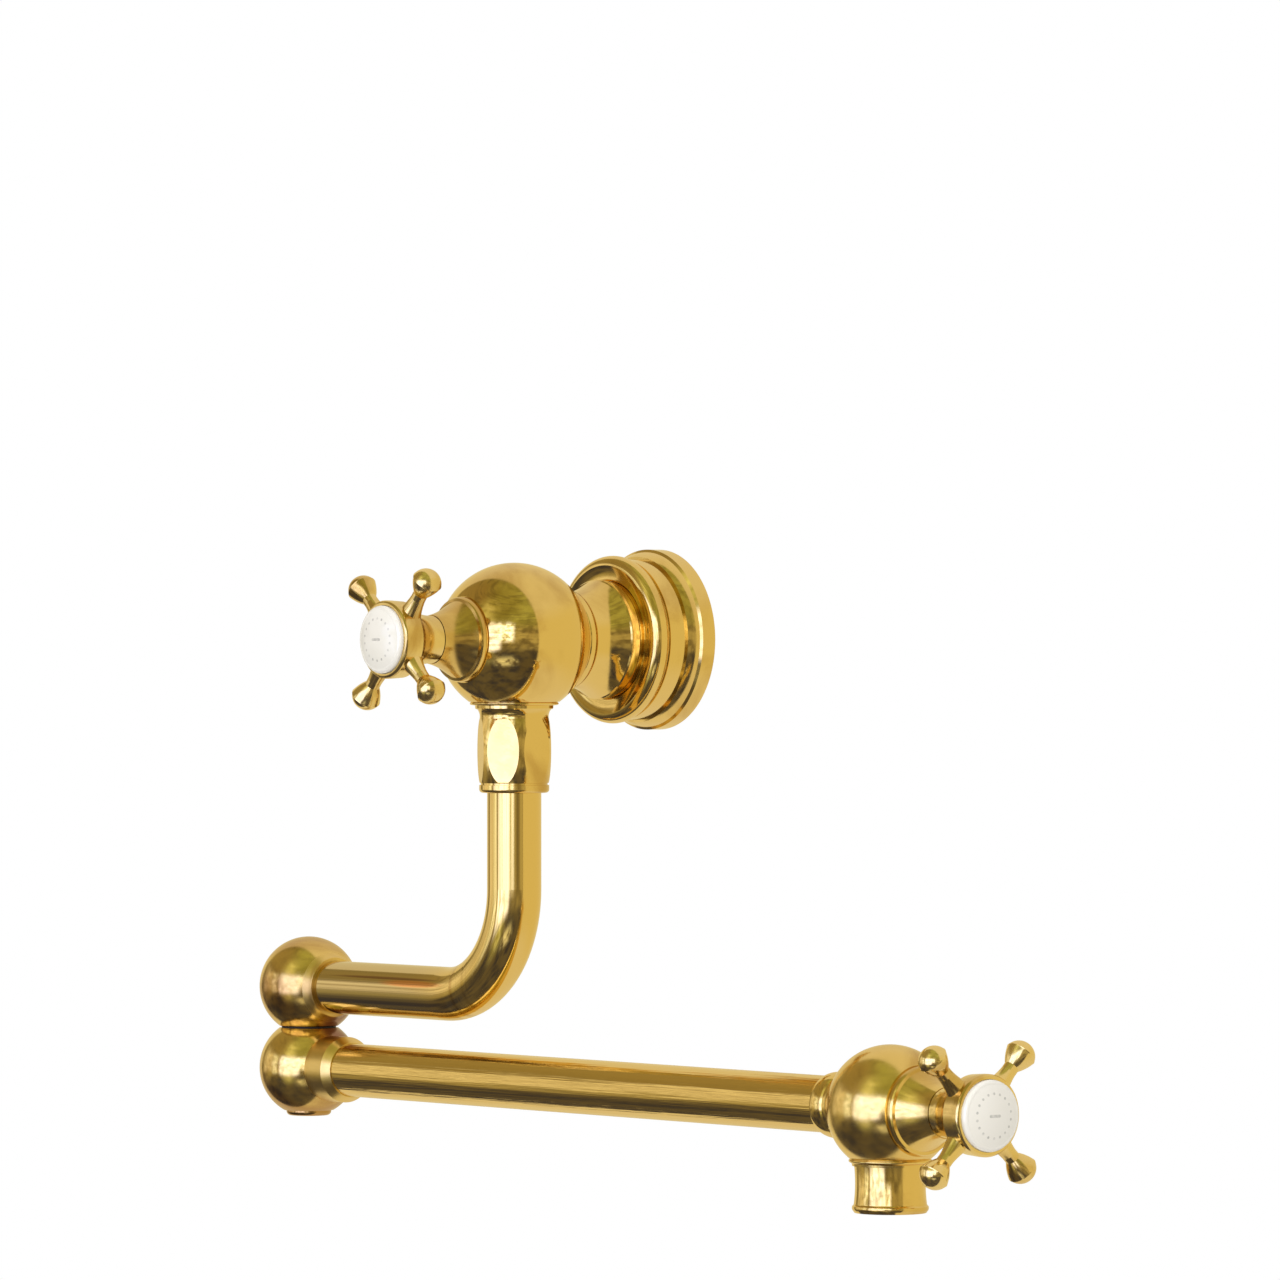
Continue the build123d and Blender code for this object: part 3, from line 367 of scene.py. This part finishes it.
turned_brass = brass("turned_brass", roughness=0.09, dulled=0.21, waviness=0.15, tarnished_share=0.20)
seal_rubber = grained("seal_rubber", (0.035, 0.035, 0.035), (0.018, 0.018, 0.018),
                      metallic=0, smooth=0.45, rough=0.68, scale=2600, depth=0.00003)
screw_steel = grained("screw_steel", (0.62, 0.61, 0.59), (0.48, 0.47, 0.46),
                      metallic=1, smooth=0.22, rough=0.42, scale=1800, depth=0.00001)
wear_finish(turned_brass, "wall_rose")
wear_finish(seal_rubber, "rose_gasket")
wear_finish(screw_steel, "rose_set_screw")


# ---------------------------------------------------------------- wall valve body and its inlet thread
# One casting: the ball, its flared neck and the boss below, machined where pieces meet and then polished
# all over. The inlet behind is tapped for half inch pipe, and the thread shows when seen from the wall.

THREAD_PITCH = 0.001814
THREAD_WALL_R = 0.009315
THREAD_HEIGHT = 0.0003
THREAD_WIDTH = 0.0017
THREAD_SUNK = 0.00004
THREAD_STARTS_Y = -0.0011
THREAD_TURNS = 7
STEPS_A_TURN = 48

cast_brass = brass("cast_brass", roughness=0.055, dulled=0.16, waviness=0.22, tarnished_share=0.20)
machined_brass = grained("machined_brass", (0.80, 0.60, 0.24), (0.70, 0.50, 0.18),
                         metallic=1, smooth=0.20, rough=0.36, scale=1400, depth=0.00001)
wear_finish(cast_brass, "wall_valve_body")
wear_finish(seal_rubber, "wall_seat_seal")

# a triangle with one corner towards the bore's axis, flattened to the ridge's height and then wound up
ridge_r = THREAD_WIDTH / sqrt(3)
bpy.ops.object.select_all(action="DESELECT")
bpy.ops.mesh.primitive_circle_add(
    vertices=3, radius=ridge_r, rotation=(0, 0, pi / 2),
    location=(THREAD_WALL_R + THREAD_SUNK - THREAD_HEIGHT / 3, THREAD_STARTS_Y, 0))
inlet_thread = bpy.context.object
inlet_thread.name = "inlet_thread"
bpy.ops.object.transform_apply(location=False)
inlet_thread.scale.x = THREAD_HEIGHT / (1.5 * ridge_r)
bpy.ops.object.transform_apply()
turns = inlet_thread.modifiers.new("turns", "SCREW")
turns.axis = "Y"
turns.screw_offset = -THREAD_PITCH
turns.iterations = THREAD_TURNS
turns.steps = STEPS_A_TURN
turns.render_steps = STEPS_A_TURN
bpy.ops.object.modifier_apply(modifier="turns")

# the two ends are closed, and every face looks outwards
bpy.ops.object.mode_set(mode="EDIT")
bpy.ops.mesh.select_all(action="DESELECT")
bpy.ops.mesh.select_mode(type="EDGE")
bpy.ops.mesh.select_non_manifold()
bpy.ops.mesh.edge_face_add()
bpy.ops.mesh.select_all(action="SELECT")
bpy.ops.mesh.normals_make_consistent(inside=False)
bpy.ops.object.mode_set(mode="OBJECT")
inlet_thread.data.materials.append(machined_brass)
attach(inlet_thread, "wall_valve")


# ---------------------------------------------------------------- swivel nut and what it holds
# A barrel nut with six flats, turned and milled from bar, that carries the first arm under the ball. A
# black acetal washer lets the arm's flange turn inside it, and two rings seal the stem.

nut_brass = brass("nut_brass", roughness=0.08, dulled=0.19, waviness=0.15, tarnished_share=0.18)
washer_acetal = grained("washer_acetal", (0.040, 0.030, 0.024), (0.022, 0.017, 0.014),
                        metallic=0, smooth=0.48, rough=0.62, scale=1500, depth=0.00001)
shader_of(washer_acetal).inputs["Specular IOR Level"].default_value = 0.2
wear_finish(nut_brass, "swivel_nut")
wear_finish(washer_acetal, "shoulder_thrust_washer")
wear_finish(machined_brass, "swivel_tail")
wear_finish(seal_rubber, "tail_o_rings")


# ---------------------------------------------------------------- bonnets and cartridges
# Under each bonnet sits a quarter turn cartridge: a machined brass shell, two lapped ceramic discs, a
# rubber seat and a spindle. The bonnets are turned covers with a soft polish and some tarnish.

bonnet_brass = brass("bonnet_brass", roughness=0.14, dulled=0.26, waviness=0.15, tarnished_share=0.28)
lapped_ceramic = grained("lapped_ceramic", (0.86, 0.85, 0.82), (0.78, 0.77, 0.74),
                         metallic=0, smooth=0.10, rough=0.22, scale=2200, depth=0.000004)
for valve in ("wall", "spout"):
    wear_finish(bonnet_brass, f"{valve}_bonnet")
    wear_finish(machined_brass, f"{valve}_cartridge", f"{valve}_spindle")
    wear_finish(lapped_ceramic, f"{valve}_fixed_disc", f"{valve}_moving_disc")
    wear_finish(seal_rubber, f"{valve}_cartridge_o_ring", f"{valve}_spindle_o_ring")
wear_finish(seal_rubber, "spout_seat_seal")


# ---------------------------------------------------------------- cross handles
# Each is one brass casting with four arms that end in knobs, filed and buffed by hand, so it is paler and
# its polish softer and more uneven. A steel screw under the button holds it on the spindle.

HAND_BUFFED = (0.88, 0.66, 0.25)

handle_brass = brass("handle_brass", roughness=0.13, dulled=0.26, waviness=0.35, tarnished_share=0.22,
                     colour=HAND_BUFFED)
wear_finish(handle_brass, "wall_cross_handle", "spout_cross_handle")
wear_finish(screw_steel, "wall_handle_screw", "spout_handle_screw")


# ---------------------------------------------------------------- porcelain buttons
# Domed buttons of white glazed porcelain, pressed into the cups on a rubber ring. A plain ring of small
# grey dots round a short bar is printed under the glaze, and is partly rubbed thin.

DOT_RING_R = 0.0073
DOT_R = 0.00042
DOT_COUNT = 18
BAR_HALF_LENGTH = 0.0019
BAR_HALF_WIDTH = 0.00045
INK_SPREAD = 0.00016
INK_FADE = 0.00010
INK_LEFT = (0.25, 0.85)
INK = (0.36, 0.35, 0.34)
WALL_BUTTON_Z = 0
SPOUT_BUTTON_Z = -0.1551


def printed_dots_group():
    """The printed marks from two lengths on the button's face: 1 on the ink, 0 off it."""
    group, given, results = new_group("printed_dots", {"Across": "Float", "Up": "Float"}, {"Ink": "Float"})
    across, upward = given["Across"], given["Up"]

    def distance(sideways, upright):
        """The straight distance that two lengths at right angles span."""
        squares = (calc(group, "POWER", length, 2) for length in (sideways, upright))
        return calc(group, "SQRT", calc(group, "ADD", *squares))

    def inked(away, size):
        """A mark of this half size with a soft edge."""
        return smooth_step(group, away, size + INK_SPREAD, size - INK_FADE)

    dots_round = calc(group, "MULTIPLY", calc(group, "ARCTAN2", upward, across), DOT_COUNT / (2 * pi))
    from_dot = calc(group, "SUBTRACT", calc(group, "FRACT", dots_round), 0.5)
    along_ring = calc(group, "MULTIPLY", from_dot, 2 * pi * DOT_RING_R / DOT_COUNT)
    off_ring = calc(group, "SUBTRACT", distance(across, upward), DOT_RING_R)
    past_end = calc(group, "SUBTRACT", calc(group, "ABSOLUTE", across), BAR_HALF_LENGTH)
    off_bar = distance(calc(group, "MAXIMUM", past_end, 0), upward)
    dots = inked(distance(along_ring, off_ring), DOT_R)
    feed(group, results, {"Ink": calc(group, "MAXIMUM", dots, inked(off_bar, BAR_HALF_WIDTH))})
    return group


printed_dots = printed_dots_group()


def porcelain(name, face_axes, middle):
    """White glaze, with the printed marks round the middle of the face that these two axes span."""
    material, tree = new_finish(name)
    place = add(tree, "TexCoord").outputs["Object"]
    centred = add(tree, "Mapping", {"Vector": place, "Location": -Vector(middle)})
    along = add(tree, "SeparateXYZ", {0: centred.outputs[0]}).outputs
    across, upward = face_axes
    marks = add(tree, "Group", {"Across": along[across], "Up": along[upward]}, node_tree=printed_dots)
    grain = add(tree, "Group", {"Scale": 420, "Depth": 0.00002}, node_tree=fine_grain).outputs
    glaze = mixed(tree, grain["Clouds"], (0.80, 0.765, 0.70), (0.86, 0.845, 0.80))
    ink_share = calc(tree, "MULTIPLY", marks.outputs["Ink"], between(tree, grain["Specks"], *INK_LEFT))
    feed(tree, shader_of(material), {
        "Base Color": mixed(tree, ink_share, glaze, INK),
        "Roughness": 0.16,
        "Coat Weight": 1,
        "Coat Roughness": 0.04,
        "Normal": grain["Normal"]})
    return material


spout_low, spout_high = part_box("spout_porcelain_button")
spout_button_y = (spout_low[1] + spout_high[1]) / 2
wall_porcelain = porcelain("wall_porcelain", "XZ", (0, 0, WALL_BUTTON_Z))
spout_porcelain = porcelain("spout_porcelain", "YZ", (0, spout_button_y, SPOUT_BUTTON_Z))
wear_finish(wall_porcelain, "wall_porcelain_button")
wear_finish(spout_porcelain, "spout_porcelain_button")
wear_finish(seal_rubber, "wall_button_o_ring", "spout_button_o_ring")


# ---------------------------------------------------------------- first arm
# Drawn brass tube, bent over a former and polished lengthwise. It drops from the swivel nut, turns
# through a right angle and ends brazed into the upper ball of the elbow.

WEAR_DRAWN_OUT = 0.15
BEND_STARTS_X = -0.012
BEND_ENDS_X = -0.030
LEVEL_PART_MIDDLE = (-0.082, -0.0648, -0.1256)
LEVEL_PART_REACH = 0.062
LEVEL_PART_BROWN = (0.63, 0.48, 0.21)
STAIN_OR_PAINTED_LIGHT_CORE = 0.45
STAIN_OR_PAINTED_LIGHT_STRENGTH = 0.85


def stain_or_painted_light(material, centre, reach, colour, stretch=(1, 1, 1)):
    """A soft mark laid on the base colour, fading out at this reach from its centre and drawn out where a
    stretch is under 1: used for stains and for painted highlights and reflections.
    """
    tree = material.node_tree
    clean = shader_of(material).inputs["Base Color"].links[0].from_socket
    place = add(tree, "TexCoord").outputs["Object"]
    drawn_out = add(tree, "VectorMath", {0: place, 1: stretch}, operation="MULTIPLY")
    away = add(tree, "VectorMath", {0: drawn_out.outputs[0], 1: Vector(centre) * Vector(stretch)},
               operation="DISTANCE")
    share = smooth_step(tree, away.outputs["Value"], reach, reach * STAIN_OR_PAINTED_LIGHT_CORE, STAIN_OR_PAINTED_LIGHT_STRENGTH)
    feed(tree, shader_of(material), {"Base Color": mixed(tree, share, clean, colour)})


def level_past_bend(material, start, end, stretch):
    """Between these places along X, the way in which the wear is drawn out changes to this one."""
    tree = material.node_tree
    wear = tree.nodes["wear"]
    upright = wear.inputs["Place"].links[0].from_socket
    place = add(tree, "TexCoord").outputs["Object"]
    level = add(tree, "VectorMath", {0: place, 1: stretch}, operation="MULTIPLY").outputs[0]
    past = smooth_step(tree, add(tree, "SeparateXYZ", {0: place}).outputs["X"], start, end)
    drawn_out = add(tree, "Mix", {"Factor": past, "A": upright, "B": level}, data_type="VECTOR")
    feed(tree, wear, {"Place": drawn_out.outputs["Result"]})


drop_brass = brass("drop_brass", roughness=0.065, dulled=0.17, waviness=0.20, tarnished_share=0.18,
                   stretch=(1, 1, WEAR_DRAWN_OUT))
level_past_bend(drop_brass, BEND_STARTS_X, BEND_ENDS_X, (WEAR_DRAWN_OUT, 1, 1))
stain_or_painted_light(drop_brass, LEVEL_PART_MIDDLE, LEVEL_PART_REACH, LEVEL_PART_BROWN)
# a painted copper highlight and a painted dark reflection line along the level part, each row: middle,
# width, length, colour
for middle, width, length, colour in (
        ((-0.0490, -0.0737, -0.1222), 0.0034, 0.044, (1.0, 0.43, 0.13)),
        ((-0.0640, -0.0729, -0.1207), 0.0014, 0.080, (0.36, 0.19, 0.09))):
    stain_or_painted_light(drop_brass, middle, width / 2, colour, (width / length, 1, 1))
wear_finish(drop_brass, "drop_tube")


# ---------------------------------------------------------------- elbow
# Two hollow cast balls turn on a hidden pivot, with a black acetal washer between them. Grease and damp
# have browned the brass round the joint, and the balls are duller than the tubes.

ELBOW_BROWN = (0.52, 0.31, 0.10)
JOINT_STAIN_AT = (-0.1130, -0.0585, -0.14035)
JOINT_STAIN_REACH = 0.0125
JOINT_STAIN = (0.24, 0.10, 0.075)
FLARE_STARTS_X = -0.1097
SATIN = 0.34
SATIN_EDGE = 0.0002


def satin_beyond(material, start, roughness):
    """Past this place along X the metal keeps the satin finish of its turning."""
    tree = material.node_tree
    polished = shader_of(material).inputs["Roughness"].links[0].from_socket
    place = add(tree, "TexCoord").outputs["Object"]
    past = add(tree, "MapRange", {
        "Value": add(tree, "SeparateXYZ", {0: place}).outputs["X"],
        "From Min": start - SATIN_EDGE, "From Max": start + SATIN_EDGE})
    finish = add(tree, "Mix", {"Factor": past.outputs["Result"], "A": polished, "B": roughness})
    feed(tree, shader_of(material), {"Roughness": finish.outputs["Result"]})


flared_brass = brass("flared_brass", roughness=0.15, dulled=0.28, waviness=0.30, tarnished_share=0.36,
                     tarnished=ELBOW_BROWN)
elbow_brass = brass("elbow_brass", roughness=0.13, dulled=0.25, waviness=0.30, tarnished_share=0.34,
                    tarnished=ELBOW_BROWN)
satin_beyond(flared_brass, FLARE_STARTS_X, SATIN)
for stained_brass in (flared_brass, elbow_brass):
    stain_or_painted_light(stained_brass, JOINT_STAIN_AT, JOINT_STAIN_REACH, JOINT_STAIN)
wear_finish(flared_brass, "upper_elbow_ball")
wear_finish(elbow_brass, "lower_elbow_ball", "elbow_plug")
wear_finish(washer_acetal, "elbow_thrust_washer")
wear_finish(machined_brass, "elbow_spigot", "elbow_retaining_nut")
wear_finish(seal_rubber, "elbow_o_rings")


# ---------------------------------------------------------------- straight arm
# The same drawn tube, with long buffing lines, and a turned collar brazed on at each end: a plain satin
# one with a bevel at the elbow, and a ring with a hollow at the spout valve.

LINES_DRAWN_OUT = 0.02
LINE_DEPTH = 0.00035

drawn_brass = brass("drawn_brass", roughness=0.065, dulled=0.17, waviness=0.20, tarnished_share=0.20,
                    stretch=(LINES_DRAWN_OUT, 1, 1), line_depth=LINE_DEPTH)
satin_brass = brass("satin_brass", roughness=0.28, dulled=SATIN, waviness=0.10, tarnished_share=0.20)
collar_brass = brass("collar_brass", roughness=0.09, dulled=0.20, waviness=0.10, tarnished_share=0.20)
wear_finish(drawn_brass, "arm_tube")
wear_finish(satin_brass, "elbow_collar")
wear_finish(collar_brass, "valve_collar")


# ---------------------------------------------------------------- spout valve and nozzle
# A smaller cast ball, worn softer than the first by wet hands, over a turned nozzle. The nozzle holds a
# steel aerator screen in a brass ring, seated on a rubber washer.

worn_brass = brass("worn_brass", roughness=0.16, dulled=0.27, waviness=0.20, tarnished_share=0.22)
wear_finish(worn_brass, "spout_valve_body")
wear_finish(turned_brass, "spout_nozzle")
wear_finish(seal_rubber, "aerator_washer")
wear_finish(machined_brass, "aerator_housing")
wear_finish(screw_steel, "aerator_screen")
